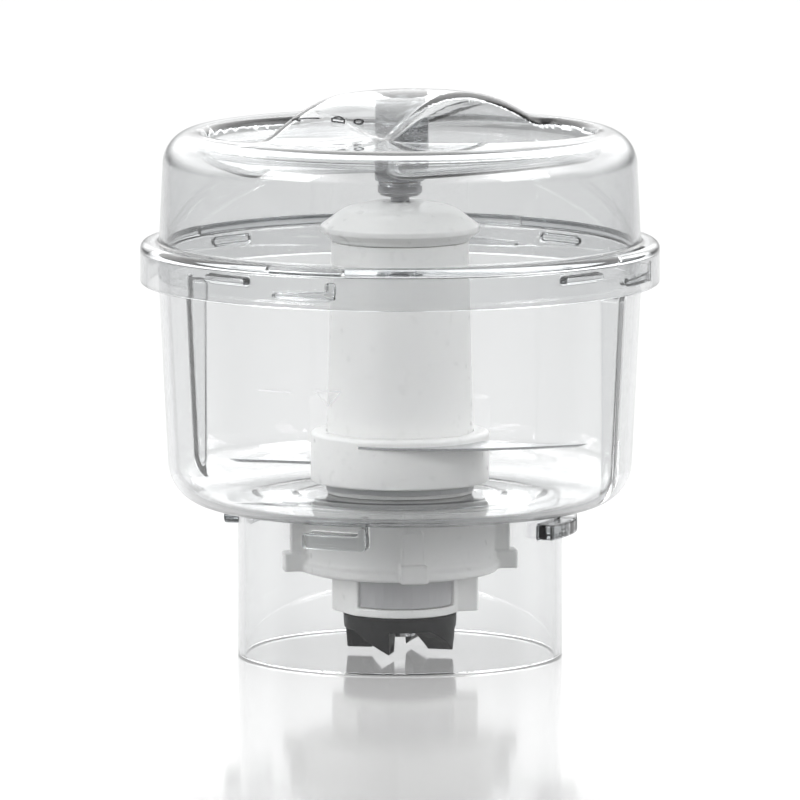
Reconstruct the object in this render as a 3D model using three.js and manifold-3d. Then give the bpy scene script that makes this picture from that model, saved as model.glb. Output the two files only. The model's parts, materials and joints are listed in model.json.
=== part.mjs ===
// Bowl attachment of a small food processor: a clear bowl on a clear skirt, a clear lid with a
// raised grip and two finger scoops, and a bladed knife tower turned by a saw-tooth coupling.
// Millimetres, +Z up. The origin is the centre of the ring that the attachment stands on, and
// the drive axis is Z. Angles written as "front angles" start at the front (-Y) and grow
// towards +X.
import * as THREE from 'three';
import { mergeVertices } from 'three/addons/utils/BufferGeometryUtils.js';
import Module from 'manifold-3d';

const wasm = await Module();
wasm.setup();

// ---- driving dimensions -------------------------------------------------------------------
const GAP = 0.3;                 // kept between neighbouring solids
const BITE = 0.2;                // how far a joined or cutting solid reaches past the surface
const WALL = 2.6;                // clear mouldings
const ROUND = 48;                // facets round the large clear mouldings
const ROUND_SMALL = 32;          // facets round the white mouldings
const ROUND_TINY = 16;           // facets round shafts, bushes and screws

const SKIRT_R = 58.2;            // outer radius of the base skirt
const SKIRT_TOP = 54.2;
const SKIRT_LUG_R = 64.6;
const SKIRT_LUG_Z = [45.0, 50.5];
const SKIRT_LUG_SPAN = 22;       // degrees
const SKIRT_LUG_ANGLE = -22;     // front angle of the first lug

const BOWL_FLOOR = 54.5;         // underside of the bowl's floor
const BOWL_RIM = 145.7;
const BOWL_CORNER = 14;          // radius of the bottom corner
const BOWL_CORNER_R = 69.2;      // radius at which the flat floor ends
const BOWL_RIM_R = 87.0;
const FLOOR_HOLE_R = 22.0;
const RIB_ANGLE = 68;            // front angle of the flow rib, its twin stands opposite
const RIB_DEPTH = 4.5;
const RIB_WIDTH = 3.2;
const RIB_Z = [62, 132];

const BAYONET_ANGLE = -22;       // front angle of the first lid ledge
const BAYONET_SPAN = 14.5;       // degrees covered by a ledge
const LEDGE_Z = [137.6, 140.2];
const RIM_LUG_Z = [140.8, 143.4];
const RIM_LUG_ANGLES = [-50, -37.1];

const LID_BAND_R = 93.0;
const LID_BAND_Z = 134.0;
const LID_FLANGE_Z = 148.7;
const DOME_BASE_R = 86.3;
const DOME_TOP_R = 84.4;
const DOME_TOP = 189.4;
const SHOULDER = 11.5;
const GRIP_TURN = 55.7;          // degrees from +X to the line the grip runs along
const GRIP_HALF_WIDTH = 17.9;
const GRIP_ARCH = 12.6;          // height of a grip edge over the lid
const GRIP_CROWN = 3.5;          // extra height on the centre line
const GRIP_SHIFT = 14.6;         // each edge peaks this far along the grip, on opposite ends
const SCOOP_R = 50;              // the scoops are half discs against the grip's sides
const SCOOP_FLOOR = 177.0;
const SCOOP_SLOPE = 0.1;

const SHAFT_R = 3.35;
const BORE_R = SHAFT_R + GAP;
const SHAFT_Z = [9.9, 175.5];
const TOWER_R = [26.1, 24.5];    // at the hub and under the cap
const TOWER_Z = [63.0, 148.7];
const CAP_R = 28.5;
const HUB_R = 32.0;
const HUB_Z = [62.5, 80.5];
const SLEEVE_TOP = 139.6;
const BARREL_R = 21.5;
const NUT_R = 33.5;
const NUT_LUG_R = 42.3;
const NUT_LUG_ANGLE = 7;
const NUT_Z = [30.3, 54.2];
const COLLAR_R = 20.4;
const COLLAR_Z = [15.0, 35.7];
const COUPLING_R = [20.3, 19.3]; // at the collar and at the claw tips
const CLAW_Z = [1.4, 9.6];
const CLAWS = 4;

// ---- solids and meshes --------------------------------------------------------------------
const COLOURS = {
  clear: { color: 0xe6eaeb, roughness: 0.06, metalness: 0 },
  smoky: { color: 0xd6dadb, roughness: 0.06, metalness: 0 },
  white: { color: 0xf2f2f0, roughness: 0.28, metalness: 0 },
  grey: { color: 0x9fa1a3, roughness: 0.4, metalness: 0 },
  steel: { color: 0xc9cacb, roughness: 0.22, metalness: 1 },
  bronze: { color: 0xb08d57, roughness: 0.4, metalness: 1 },
  charcoal: { color: 0x3a3b3d, roughness: 0.55, metalness: 0 },
  silicone: { color: 0xd2d2d0, roughness: 0.7, metalness: 0 },
};

const group = new THREE.Group();
const rad = THREE.MathUtils.degToRad;
const frontAngle = (degrees) => rad(degrees - 90);

/** Turns a closed three.js geometry into a solid, leaving out collapsed triangles. */
function solid(geometry) {
  const bare = geometry.index ? geometry : geometry.clone();
  bare.deleteAttribute('normal');
  bare.deleteAttribute('uv');
  const merged = mergeVertices(bare, 1e-4);
  const index = merged.index.array;
  const triangles = [];
  for (let i = 0; i < index.length; i += 3) {
    const [a, b, c] = [index[i], index[i + 1], index[i + 2]];
    if (a !== b && b !== c && c !== a) triangles.push(a, b, c);
  }
  return new wasm.Manifold(new wasm.Mesh({
    numProp: 3,
    vertProperties: Float32Array.from(merged.attributes.position.array),
    triVerts: Uint32Array.from(triangles),
  }));
}

/** Adds a solid to the model as a named mesh. */
function add(name, shape, look) {
  const mesh = shape.getMesh();
  const geometry = new THREE.BufferGeometry();
  geometry.setAttribute('position', new THREE.BufferAttribute(mesh.vertProperties, 3));
  geometry.setIndex(new THREE.BufferAttribute(mesh.triVerts, 1));
  geometry.computeVertexNormals();
  const piece = new THREE.Mesh(geometry, new THREE.MeshStandardMaterial(COLOURS[look]));
  piece.name = name;
  group.add(piece);
}

const union = (shapes) => shapes.reduce((all, shape) => all.add(shape));
const cut = (shape, tools) => tools.reduce((rest, tool) => rest.subtract(tool), shape);

/** Points of an arc in a profile, from one angle to another in degrees. */
function arc(r, z, radius, from, to, steps) {
  const points = [];
  for (let i = 0; i <= steps; i += 1) {
    const angle = rad(from + ((to - from) * i) / steps);
    points.push([r + radius * Math.cos(angle), z + radius * Math.sin(angle)]);
  }
  return points;
}

/** Turns a profile of [radius, z] points about Z. A profile off the axis closes on itself. */
function lathe(profile, facets) {
  const onAxis = profile[0][0] === 0 && profile.at(-1)[0] === 0;
  const loop = onAxis ? profile : [...profile, profile[0]];
  let area = 0;
  loop.forEach(([r, z], i) => {
    const [r2, z2] = loop[(i + 1) % loop.length];
    area += r * z2 - r2 * z;
  });
  const ordered = area > 0 ? loop : [...loop].reverse();
  const points = ordered.map(([r, z]) => new THREE.Vector2(r, z));
  const geometry = new THREE.LatheGeometry(points, facets);
  geometry.rotateX(Math.PI / 2);
  return solid(geometry);
}

const ring = (rIn, rOut, z0, z1, facets = ROUND_TINY) => lathe(
  [[rIn, z0], [rOut, z0], [rOut, z1], [rIn, z1]],
  facets,
);

const rod = (radius, z0, z1, facets = ROUND_TINY) => lathe(
  [[0, z0], [radius, z0], [radius, z1], [0, z1]],
  facets,
);

/** Stands an outline up from z0 to z1. */
function prism(shape, z0, z1, curveSegments = 12) {
  const depth = z1 - z0;
  const geometry = new THREE.ExtrudeGeometry(shape, { depth, bevelEnabled: false, curveSegments });
  geometry.translate(0, 0, z0);
  return solid(geometry);
}

/** A sector of a ring between two front angles. */
function sector(rIn, rOut, from, to, z0, z1) {
  const shape = new THREE.Shape();
  shape.absarc(0, 0, rOut, frontAngle(from), frontAngle(to), false);
  shape.absarc(0, 0, rIn, frontAngle(to), frontAngle(from), true);
  return prism(shape, z0, z1, 6);
}

/** The same thing at four places a quarter turn apart. */
const quarters = (make) => [0, 90, 180, 270].map(make);

// ---- clear bowl and skirt -----------------------------------------------------------------
function bowl() {
  const cornerZ = BOWL_FLOOR + BOWL_CORNER;
  const inner = BOWL_CORNER - WALL;
  const body = lathe([
    [FLOOR_HOLE_R, BOWL_FLOOR],
    ...arc(BOWL_CORNER_R, cornerZ, BOWL_CORNER, -90, 0, 5),
    [BOWL_RIM_R, BOWL_RIM],
    [BOWL_RIM_R - WALL, BOWL_RIM],
    ...arc(BOWL_CORNER_R, cornerZ, inner, 0, -90, 4),
    [FLOOR_HOLE_R, BOWL_FLOOR + WALL],
  ], ROUND);
  const ribs = [RIB_ANGLE, RIB_ANGLE + 180].map((angle) => {
    const face = BOWL_CORNER_R + inner - RIB_DEPTH;
    const half = THREE.MathUtils.radToDeg(RIB_WIDTH / 2 / face);
    return sector(face, face + RIB_DEPTH + 1.5, angle - half, angle + half, ...RIB_Z);
  });
  const lugs = quarters((turn) => sector(
    BOWL_RIM_R - 1.5,
    BOWL_RIM_R + 2.6,
    RIM_LUG_ANGLES[0] + turn,
    RIM_LUG_ANGLES[1] + turn,
    ...RIM_LUG_Z,
  ));
  return union([body, ...ribs, ...lugs]);
}

function baseSkirt() {
  const tube = ring(SKIRT_R - WALL, SKIRT_R, 0, SKIRT_TOP, ROUND);
  const half = SKIRT_LUG_SPAN / 2;
  const lugs = quarters((turn) => {
    const middle = SKIRT_LUG_ANGLE + turn;
    return sector(SKIRT_R - 1, SKIRT_LUG_R, middle - half, middle + half, ...SKIRT_LUG_Z);
  });
  const stops = quarters((turn) => {
    const end = SKIRT_LUG_ANGLE + turn + half;
    const top = SKIRT_TOP - 1;
    return sector(SKIRT_R - 1 - BITE, SKIRT_LUG_R - BITE, end - 2.5, end - BITE, SKIRT_LUG_Z[0] + 1, top);
  });
  return union([tube, ...lugs, ...stops]);
}

// ---- clear lid ----------------------------------------------------------------------------
/** Height of one grip edge, s along the grip from that edge's highest point. */
function archHeight(s) {
  const reach = Math.min(1, Math.abs(s) / SCOOP_R);
  return GRIP_ARCH * (1 - reach ** 2) ** 1.15;
}

/** Top of the grip over the lid at s along it and t across it. */
function gripHeight(s, t) {
  const across = t / GRIP_HALF_WIDTH;
  const near = archHeight(s - GRIP_SHIFT);
  const far = archHeight(s + GRIP_SHIFT);
  const edge = THREE.MathUtils.lerp(far, near, (across + 1) / 2);
  return edge + (GRIP_CROWN * (1 - across ** 2) * edge) / GRIP_ARCH;
}

/** The grip as a solid, made smaller all round by inset. */
function grip(inset) {
  const foot = DOME_TOP - 6;
  const length = 2 * (SCOOP_R + GRIP_SHIFT);
  const width = 2 * (GRIP_HALF_WIDTH - inset);
  const geometry = new THREE.BoxGeometry(length, width, 1, 18, 6, 1);
  const place = geometry.attributes.position;
  for (let i = 0; i < place.count; i += 1) {
    const top = DOME_TOP - 1.2 - inset + gripHeight(place.getX(i), -place.getY(i));
    place.setZ(i, place.getZ(i) > 0 ? top : foot - inset);
  }
  geometry.rotateZ(rad(GRIP_TURN));
  return solid(geometry);
}

/** A finger scoop, grown all round by grow. Side is 1 for the right one and -1 for its twin. */
function scoop(side, grow) {
  const shape = new THREE.Shape();
  shape.absarc(0, 0, SCOOP_R + grow, 0, Math.PI, false);
  const geometry = new THREE.ExtrudeGeometry(shape, { depth: 1, bevelEnabled: false, curveSegments: 16 });
  const place = geometry.attributes.position;
  for (let i = 0; i < place.count; i += 1) {
    const floor = SCOOP_FLOOR - grow + SCOOP_SLOPE * place.getY(i);
    place.setZ(i, place.getZ(i) > 0.5 ? DOME_TOP + 30 : floor);
  }
  geometry.translate(-GRIP_SHIFT, GRIP_HALF_WIDTH - BITE - grow, 0);
  geometry.rotateZ(rad(GRIP_TURN) + (side > 0 ? Math.PI : 0));
  return solid(geometry);
}

const LID_BOSS_R = 9.0;
const LID_BOSS_Z = [170.3, 201.2];
const INSERT_R = 7.2;
const INSERT_Z = [170.3, 190];
const INSERT_BORE_R = 6.4;
const INSERT_BORE_TOP = 181;
const CUP_R = [4.3, 8.0];
const CUP_Z = [165.0, 170.0];
const LID_BUSH_R = 6.1;
const LID_BUSH_Z = [170.6, 178];

function lidShell() {
  const shoulderR = DOME_TOP_R - SHOULDER;
  const shoulderZ = DOME_TOP - 1 - SHOULDER;
  const under = LID_FLANGE_Z - WALL;
  const outer = lathe([
    [0, DOME_TOP],
    ...arc(shoulderR, shoulderZ, SHOULDER, 90, 4, 5),
    [DOME_BASE_R, LID_FLANGE_Z],
    ...arc(LID_BAND_R - 2.5, LID_FLANGE_Z - 2.5, 2.5, 90, 0, 2),
    [LID_BAND_R, LID_BAND_Z],
    [LID_BAND_R - WALL, LID_BAND_Z],
    [LID_BAND_R - WALL, under],
    [0, under],
  ], ROUND);
  const inner = lathe([
    [0, DOME_TOP - WALL],
    ...arc(shoulderR, shoulderZ, SHOULDER - WALL, 90, 4, 4),
    [DOME_BASE_R - WALL, LID_FLANGE_Z],
    [DOME_BASE_R - WALL, under - 1],
    [0, under - 1],
  ], ROUND);
  const boss = rod(LID_BOSS_R, ...LID_BOSS_Z);
  const room = cut(inner.add(grip(WALL)), [scoop(1, WALL), scoop(-1, WALL), boss]);
  const bore = rod(INSERT_R + GAP, LID_BOSS_Z[0] - 5, INSERT_Z[1] + GAP);
  const start = BAYONET_ANGLE - BAYONET_SPAN / 2;
  const end = BAYONET_ANGLE + BAYONET_SPAN / 2;
  const windows = quarters((turn) => sector(
    BOWL_RIM_R + 0.8,
    LID_BAND_R - WALL - 0.3,
    start + turn - 2,
    end + turn + 2,
    under - 1,
    LID_FLANGE_Z + 1,
  ));
  const ledgeR = [BOWL_RIM_R + 0.8, LID_BAND_R - 1];
  const ledges = quarters((turn) => sector(...ledgeR, start + turn, end + turn, ...LEDGE_Z));
  const stops = quarters((turn) => sector(
    ledgeR[0] + BITE,
    ledgeR[1] + BITE,
    end + turn - 1.6,
    end + turn - BITE,
    LEDGE_Z[0] + 1,
    RIM_LUG_Z[1],
  ));
  const shell = cut(outer.add(grip(0)), [scoop(1, 0), scoop(-1, 0), room, bore, ...windows]);
  return union([shell, ...ledges, ...stops]);
}

/** Steel insert moulded into the lid, with coarse straight knurling. */
function lidInsert() {
  const teeth = 18;
  const toothDepth = 0.35;
  const shape = new THREE.Shape();
  for (let i = 0; i < teeth * 2; i += 1) {
    const radius = INSERT_R - (i % 2) * toothDepth;
    const angle = (i * Math.PI) / teeth;
    shape[i ? 'lineTo' : 'moveTo'](radius * Math.cos(angle), radius * Math.sin(angle));
  }
  return cut(prism(shape, ...INSERT_Z), [rod(INSERT_BORE_R, INSERT_Z[0] - 1, INSERT_BORE_TOP)]);
}

// ---- knife tower --------------------------------------------------------------------------
function knifeTower() {
  const [low, high] = TOWER_R;
  return lathe([
    [low, TOWER_Z[0]],
    [low, HUB_Z[1]],
    [high, TOWER_Z[1]],
    [high - WALL + 0.2, TOWER_Z[1]],
    [low - WALL, HUB_Z[1]],
    [low - WALL, TOWER_Z[0]],
  ], ROUND_SMALL);
}

const DRIVER_R = 8.0;
const DRIVER_Z = [141.5, 152.5];
const hexagon = (radius, z0, z1) => rod(radius, z0, z1, 6);

function towerCap() {
  const plug = TOWER_R[1] - WALL - 0.15;
  const top = 163.0;
  const body = lathe([
    [0, DRIVER_Z[0] + 0.3],
    [12.5, DRIVER_Z[0] + 0.3],
    [12.5, 153],
    [plug - 2.3, 151],
    [plug - 2.3, 143],
    [plug, 143],
    [plug, TOWER_Z[1] + GAP],
    [TOWER_R[1] + 0.2, TOWER_Z[1] + GAP],
    [27.2, 151.4],
    [CAP_R, 153.2],
    [CAP_R - 0.3, 154.5],
    [24.5, 157.8],
    [18.5, 160.7],
    [10, 162.7],
    [0, top],
  ], ROUND_SMALL);
  return cut(body, [
    hexagon(DRIVER_R + 0.5, DRIVER_Z[0] - 1, DRIVER_Z[1] + 0.7),
    rod(BORE_R, DRIVER_Z[0], top + 1),
  ]);
}

const BLADE_THICK = 1.2;
const BLADE_ROOT_R = 27.2;
const BLADES = {
  blade_upper: { tip: 70, turn: -17.5, z: 77.0 },
  blade_lower: { tip: 62.5, turn: 170, z: 66.9 },
};

/**
 * Sickle blade pointing along +X, turned to its angle. Its front edge leaves the hub as a
 * tangent. Grow makes the slot that holds it.
 */
function blade({ tip, turn, z }, grow) {
  const shape = new THREE.Shape();
  const rear = grow - 2;
  const heel = [-6 - grow, -31.4 - grow];
  shape.moveTo(HUB_R - 8, rear);
  shape.lineTo(HUB_R - 1, rear);
  shape.quadraticCurveTo(tip * 0.72, rear - 2.5, tip, 0);
  shape.bezierCurveTo(tip * 0.67, -22 - grow, tip * 0.2, -37 - grow, ...heel);
  shape.lineTo(heel[0], heel[1] + 8);
  const plate = prism(shape, z - grow, z + BLADE_THICK + grow, 10);
  return plate.rotate([0, 0, turn]).subtract(rod(BLADE_ROOT_R - grow, z - 2, z + 4, ROUND_SMALL));
}

function bladeHub() {
  const [z0, z1] = HUB_Z;
  const body = lathe([
    [TOWER_R[0] + GAP, z0],
    [HUB_R - 0.8, z0],
    [HUB_R, z0 + 0.8],
    [HUB_R, z1 - 1.2],
    [HUB_R - 1.2, z1],
    [TOWER_R[0] + GAP, z1],
  ], ROUND_SMALL);
  return cut(body, Object.values(BLADES).map((data) => blade(data, GAP)));
}

// ---- drive unit ---------------------------------------------------------------------------
const BUSH_R = 8.4;
const UPPER_BUSH_Z = [124, 136];
const LOWER_BUSH_Z = [24.8, 38];
const BUSH_FLANGE = { radius: 11, thick: 1.5 };
const SEAL_Z = [136.4, SLEEVE_TOP - GAP];
const WASHER_R = 9;
const WASHER_Z = [23.5, 24.5];
const CLIP_R = 6.2;
const CLIP_Z = [140.0, 141.0];
const SCREW_R = 1.4;
const SCREW_HEAD_R = 5.4;
const SCREW_Z = [6.2, 9.3, 20];  // underside of the head, its top and the tip
const PIN_R = 1.1;
const PIN_Z = 147;
const PIN_HALF = 6.4;
const GASKET_R = [22.8, 26.0];
const GASKET_Z = [57.4, 59.0];
const SLEEVE_LOW = 26.6;           // where the bush's seat ends
const SLEEVE_NECK_R = [14.0, 16.8];
const SLEEVE_NECK_Z = 15.3;
const SLEEVE_FLANGE_R = 26.5;
const SLEEVE_FLANGE_Z = [59.3, 61.8];
const WINDOW_ANGLES = [-48, 73];   // in the collar's front
const WINDOW_Z = [COLLAR_Z[0] + 3, NUT_Z[0] - 0.8];
const PAD_R = 19.4;              // locking pad that stands in the window
const NECK_R = 10;               // of the coupling, inside the collar
const NECK_TOP = 23.2;

const crossPin = (radius, halfLength) => {
  const geometry = new THREE.CylinderGeometry(radius, radius, 2 * halfLength, 12);
  geometry.rotateZ(Math.PI / 2);
  geometry.translate(0, 0, PIN_Z);
  return solid(geometry);
};

function driveShaft() {
  const body = lathe([
    [0, SHAFT_Z[0]],
    [SHAFT_R, SHAFT_Z[0]],
    [SHAFT_R, CLIP_Z[0] - GAP],
    [SHAFT_R - 0.7, CLIP_Z[0] - GAP],
    [SHAFT_R - 0.7, CLIP_Z[1] + GAP],
    [SHAFT_R, CLIP_Z[1] + GAP],
    [SHAFT_R, SHAFT_Z[1] - 1.5],
    [SHAFT_R - 1.5, SHAFT_Z[1]],
    [0, SHAFT_Z[1]],
  ], ROUND_TINY);
  return cut(body, [
    rod(SCREW_R + GAP, SHAFT_Z[0] - 1, SCREW_Z[2] + 1),
    crossPin(PIN_R + GAP, DRIVER_R + 2),
  ]);
}

function shaftDriver() {
  return cut(hexagon(DRIVER_R, ...DRIVER_Z), [
    rod(BORE_R, DRIVER_Z[0] - 1, DRIVER_Z[1] + 1),
    crossPin(PIN_R + GAP, DRIVER_R + 2),
  ]);
}

/** Flanged sleeve, with a pad on its neck that locks in the collar's window. */
function bearingSleeve() {
  const body = lathe([
    [BUSH_R + GAP, SLEEVE_LOW],
    [SLEEVE_NECK_R[0], SLEEVE_LOW],
    [SLEEVE_NECK_R[0], SLEEVE_NECK_Z],
    [SLEEVE_NECK_R[1], SLEEVE_NECK_Z],
    [SLEEVE_NECK_R[1], COLLAR_Z[1] + GAP],
    [BARREL_R, COLLAR_Z[1] + GAP],
    [BARREL_R, SLEEVE_FLANGE_Z[0]],
    [SLEEVE_FLANGE_R, SLEEVE_FLANGE_Z[0]],
    [SLEEVE_FLANGE_R, SLEEVE_FLANGE_Z[1]],
    [18, SLEEVE_FLANGE_Z[1]],
    [15.5, 66],
    [13.5, SLEEVE_TOP - 1],
    [12.5, SLEEVE_TOP],
    [BUSH_R + GAP, SLEEVE_TOP],
  ], ROUND_SMALL);
  const [from, to] = WINDOW_ANGLES;
  const [low, high] = WINDOW_Z;
  const pad = sector(SLEEVE_NECK_R[1] - 1, PAD_R, from + 1.2, to - 1.2, low + GAP, high - GAP);
  return union([body, pad]);
}

function lowerBush() {
  const [low, high] = LOWER_BUSH_Z;
  const { radius, thick } = BUSH_FLANGE;
  return lathe([
    [BORE_R, low],
    [radius, low],
    [radius, low + thick],
    [BUSH_R, low + thick],
    [BUSH_R, high],
    [BORE_R, high],
  ], ROUND_TINY);
}

/** Lock nut: a drum with a bottom flange and four finger lugs. */
function lockNut() {
  const bore = BARREL_R + GAP;
  const drum = lathe([
    [bore, NUT_Z[0]],
    [NUT_R + 1.6, NUT_Z[0]],
    [NUT_R + 1.6, NUT_Z[0] + 2.4],
    [NUT_R, NUT_Z[0] + 4],
    [NUT_R, NUT_Z[1]],
    [bore, NUT_Z[1]],
  ], ROUND_SMALL);
  const fins = quarters((turn) => {
    const middle = NUT_LUG_ANGLE + turn;
    return sector(NUT_R - 2, 39.6, middle - 5.3, middle + 5.3, NUT_Z[0] + 2, 48.5);
  });
  const feet = quarters((turn) => {
    const middle = NUT_LUG_ANGLE + turn;
    return sector(NUT_R - 3, NUT_LUG_R, middle - 7, middle + 7, NUT_Z[0] + BITE, 36.9);
  });
  return union([drum, ...fins, ...feet]);
}

/** Collar round the coupling's neck, with a wing on each side and a window in front. */
function bearingCollar() {
  const body = ring(17.1, COLLAR_R, ...COLLAR_Z, ROUND_SMALL);
  const outlines = [
    [[16, -12], [19.6, -5.4], [26.4, -2.6], [28.3, 5.2], [18, 9]],
    [[-14.6, -13.6], [-16, 9], [-24.6, 5.6], [-22.6, -2.2]],
  ];
  const wings = outlines.map((points) => {
    const shape = new THREE.Shape(points.map(([x, y]) => new THREE.Vector2(x, y)));
    return prism(shape, COLLAR_Z[0] + BITE, NUT_Z[0] - GAP);
  });
  const throat = rod(17.1 + BITE, COLLAR_Z[0] - 1, COLLAR_Z[1] + 1, ROUND_SMALL);
  const window = sector(16, COLLAR_R + 1, ...WINDOW_ANGLES, ...WINDOW_Z);
  return cut(union([body, ...wings]), [throat, window]);
}

/** Height of the claws' lower edge at a front angle: a flat, a ramp down, then a sheer face. */
function clawHeight(angle) {
  const pitch = 360 / CLAWS;
  const along = (((angle + 97) % pitch) + pitch) % pitch;
  const flat = pitch * 0.46;
  const fall = Math.max(0, (along - flat) / (pitch * 0.94 - flat));
  return THREE.MathUtils.lerp(CLAW_Z[1], CLAW_Z[0], Math.min(1, fall));
}

/** A ring whose underside rises and falls as saw-tooth claws. */
function clawRing(top) {
  const angles = [];
  for (let i = 0; i < CLAWS; i += 1) {
    const start = -97 + (360 / CLAWS) * i;
    [0.02, 0.25, 0.46, 0.58, 0.7, 0.82, 0.94, 0.98].forEach((part) => {
      angles.push(start + (part * 360) / CLAWS);
    });
  }
  const positions = [];
  angles.forEach((angle) => {
    const direction = frontAngle(angle);
    const low = clawHeight(angle);
    [[10.2 - 0.4 * (low - CLAW_Z[0]), low], [COUPLING_R[1], low], [COUPLING_R[0], top], [6.6, top]]
      .forEach(([radius, z]) => {
        positions.push(radius * Math.cos(direction), radius * Math.sin(direction), z);
      });
  });
  const index = [];
  angles.forEach((_, i) => {
    const next = (i + 1) % angles.length;
    for (let k = 0; k < 4; k += 1) {
      const [a, b] = [i * 4 + k, i * 4 + ((k + 1) % 4)];
      const [c, d] = [next * 4 + k, next * 4 + ((k + 1) % 4)];
      index.push(a, c, b, b, c, d);
    }
  });
  const geometry = new THREE.BufferGeometry();
  geometry.setAttribute('position', new THREE.Float32BufferAttribute(positions, 3));
  geometry.setIndex(index);
  return solid(geometry);
}

function coupling() {
  const rootZ = 12;
  const claws = clawRing(rootZ);
  const body = lathe([
    [0, CLAW_Z[1] + 0.1],
    [COUPLING_R[0] - 0.3, CLAW_Z[1] + 0.1],
    [COUPLING_R[0], rootZ],
    [COUPLING_R[0], COLLAR_Z[0] - 0.4],
    [NECK_R, COLLAR_Z[0] - 0.4],
    [NECK_R, NECK_TOP],
    [0, NECK_TOP],
  ], ROUND_SMALL);
  return union([claws, body]).subtract(rod(BORE_R, CLAW_Z[0], NECK_TOP + 1));
}

function couplingScrew() {
  const [under, top, tip] = SCREW_Z;
  const head = cut(rod(SCREW_HEAD_R, under, top), [hexagon(2.2, under - 1, under + 1.8)]);
  return head.add(rod(SCREW_R, top - BITE, tip));
}

// ---- assembly -----------------------------------------------------------------------------
add('bowl', bowl(), 'clear');
add('base_skirt', baseSkirt(), 'clear');
add('lid_shell', lidShell(), 'smoky');
add('lid_insert', lidInsert(), 'steel');
add('lid_cup', ring(...CUP_R, ...CUP_Z), 'steel');
add('lid_bush', ring(BORE_R, LID_BUSH_R, ...LID_BUSH_Z), 'bronze');

add('knife_tower', knifeTower(), 'white');
add('tower_cap', towerCap(), 'white');
add('blade_hub', bladeHub(), 'white');
Object.entries(BLADES).forEach(([name, data]) => add(name, blade(data, 0), 'steel'));

add('bearing_sleeve', bearingSleeve(), 'grey');
add('floor_gasket', ring(...GASKET_R, ...GASKET_Z, ROUND_SMALL), 'silicone');
add('lock_nut', lockNut(), 'white');
add('bearing_collar', bearingCollar(), 'white');
add('upper_bush', ring(BORE_R, BUSH_R, ...UPPER_BUSH_Z), 'bronze');
add('lower_bush', lowerBush(), 'bronze');
add('shaft_seal', ring(BORE_R, BUSH_R, ...SEAL_Z), 'silicone');
add('thrust_washer', ring(BORE_R, WASHER_R, ...WASHER_Z), 'steel');

add('drive_shaft', driveShaft(), 'steel');
add('retaining_clip', ring(SHAFT_R - 0.4, CLIP_R, ...CLIP_Z), 'steel');
add('shaft_driver', shaftDriver(), 'steel');
add('driver_pin', crossPin(PIN_R, PIN_HALF), 'steel');
add('coupling', coupling(), 'charcoal');
add('coupling_screw', couplingScrew(), 'steel');

export default group;
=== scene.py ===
"""Food processor bowl with its lid, knife tower and drive coupling, dressed around the CAD frame."""
import json
import math

import bmesh
import bpy
import numpy as np
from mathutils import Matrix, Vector


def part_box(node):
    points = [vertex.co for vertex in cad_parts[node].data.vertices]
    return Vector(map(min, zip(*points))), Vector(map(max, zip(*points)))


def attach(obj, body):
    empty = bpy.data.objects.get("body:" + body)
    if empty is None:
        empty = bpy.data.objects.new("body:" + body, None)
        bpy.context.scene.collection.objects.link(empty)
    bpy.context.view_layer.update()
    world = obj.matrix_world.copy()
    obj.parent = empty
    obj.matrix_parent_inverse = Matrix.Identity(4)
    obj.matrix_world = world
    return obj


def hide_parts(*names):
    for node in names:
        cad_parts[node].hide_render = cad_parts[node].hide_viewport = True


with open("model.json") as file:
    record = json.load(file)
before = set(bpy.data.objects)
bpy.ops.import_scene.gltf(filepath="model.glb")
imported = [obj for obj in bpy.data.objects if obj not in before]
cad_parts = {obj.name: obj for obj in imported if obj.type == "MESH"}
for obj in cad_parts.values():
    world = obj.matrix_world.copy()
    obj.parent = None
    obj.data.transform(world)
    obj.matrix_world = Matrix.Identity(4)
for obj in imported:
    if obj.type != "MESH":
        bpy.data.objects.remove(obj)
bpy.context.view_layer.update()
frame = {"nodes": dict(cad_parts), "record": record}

MM = 0.001


def cad(node, side, axis):
    """One side of a CAD node's box in millimetres: side 0 is the low one, axis 0 to 2 is X to Z."""
    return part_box(node)[side][axis] / MM


def height_of(node):
    """Bottom and top of a CAD node in millimetres."""
    return cad(node, 0, 2), cad(node, 1, 2)


# ---- sizes, in millimetres and degrees, taken from the frame where it holds them -------------
WALL = 2.6
CLEARANCE = 0.8

BAND_R = cad("lid_shell", 1, 0)
BAND_LOW, LID_TOP = height_of("lid_shell")
BAND_INSIDE_R = 84.4
BAND_ROUND = 2.6
FLANGE_TOP = 148.7
DOME_R = 86.3
DOME_TOP = 189.4
DOME_CROWN = 1.0
DOME_CROWN_R = 73.0
DOME_TOP_SCALE = 0.94
DRAFT = 0.05
SHOULDER = 11.0
GRIP_TURN = math.radians(55.7)
GRIP_HALF = 17.8
GRIP_SHIFT = 14.6
GRIP_ARCH = 12.6
GRIP_ARCH_POWER = 1.15
GRIP_CROWN = 3.5
GRIP_FOOT = 0.9
GRIP_FADE = 5.0
SCOOP_R = 50.0
SCOOP_SHIFT = 4.0
SCOOP_FLOOR = 177.0
SCOOP_TILT = 0.1
SCOOP_CORNER = 7.0
SCOOP_FILLET = 4.0
SCOOP_LIP = 3.0
BOSS_R = 9.0
BOSS_LOW = 170.3
BOSS_SKIN = 1.2
INSERT_BORE_R = 6.5
INSERT_BORE_TOP = 190.3

BOWL_RIM_R = cad("bowl", 1, 0)
BOWL_LOW, BOWL_RIM_Z = height_of("bowl")
CORNER = 14.0
CORNER_R = 69.2
HOLE_R = 22.0
RIB_ANGLE = 68.0
RIB_R = 76.2
RIB_HALF = 1.6
RIB_SKIN = 1.2
RIB_FILLET = 1.6
RIB_Z = (60, 132)
FLOOR_RIDGES = (38.0, 52.5)
FLOOR_RIDGE_R = 0.7

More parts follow.
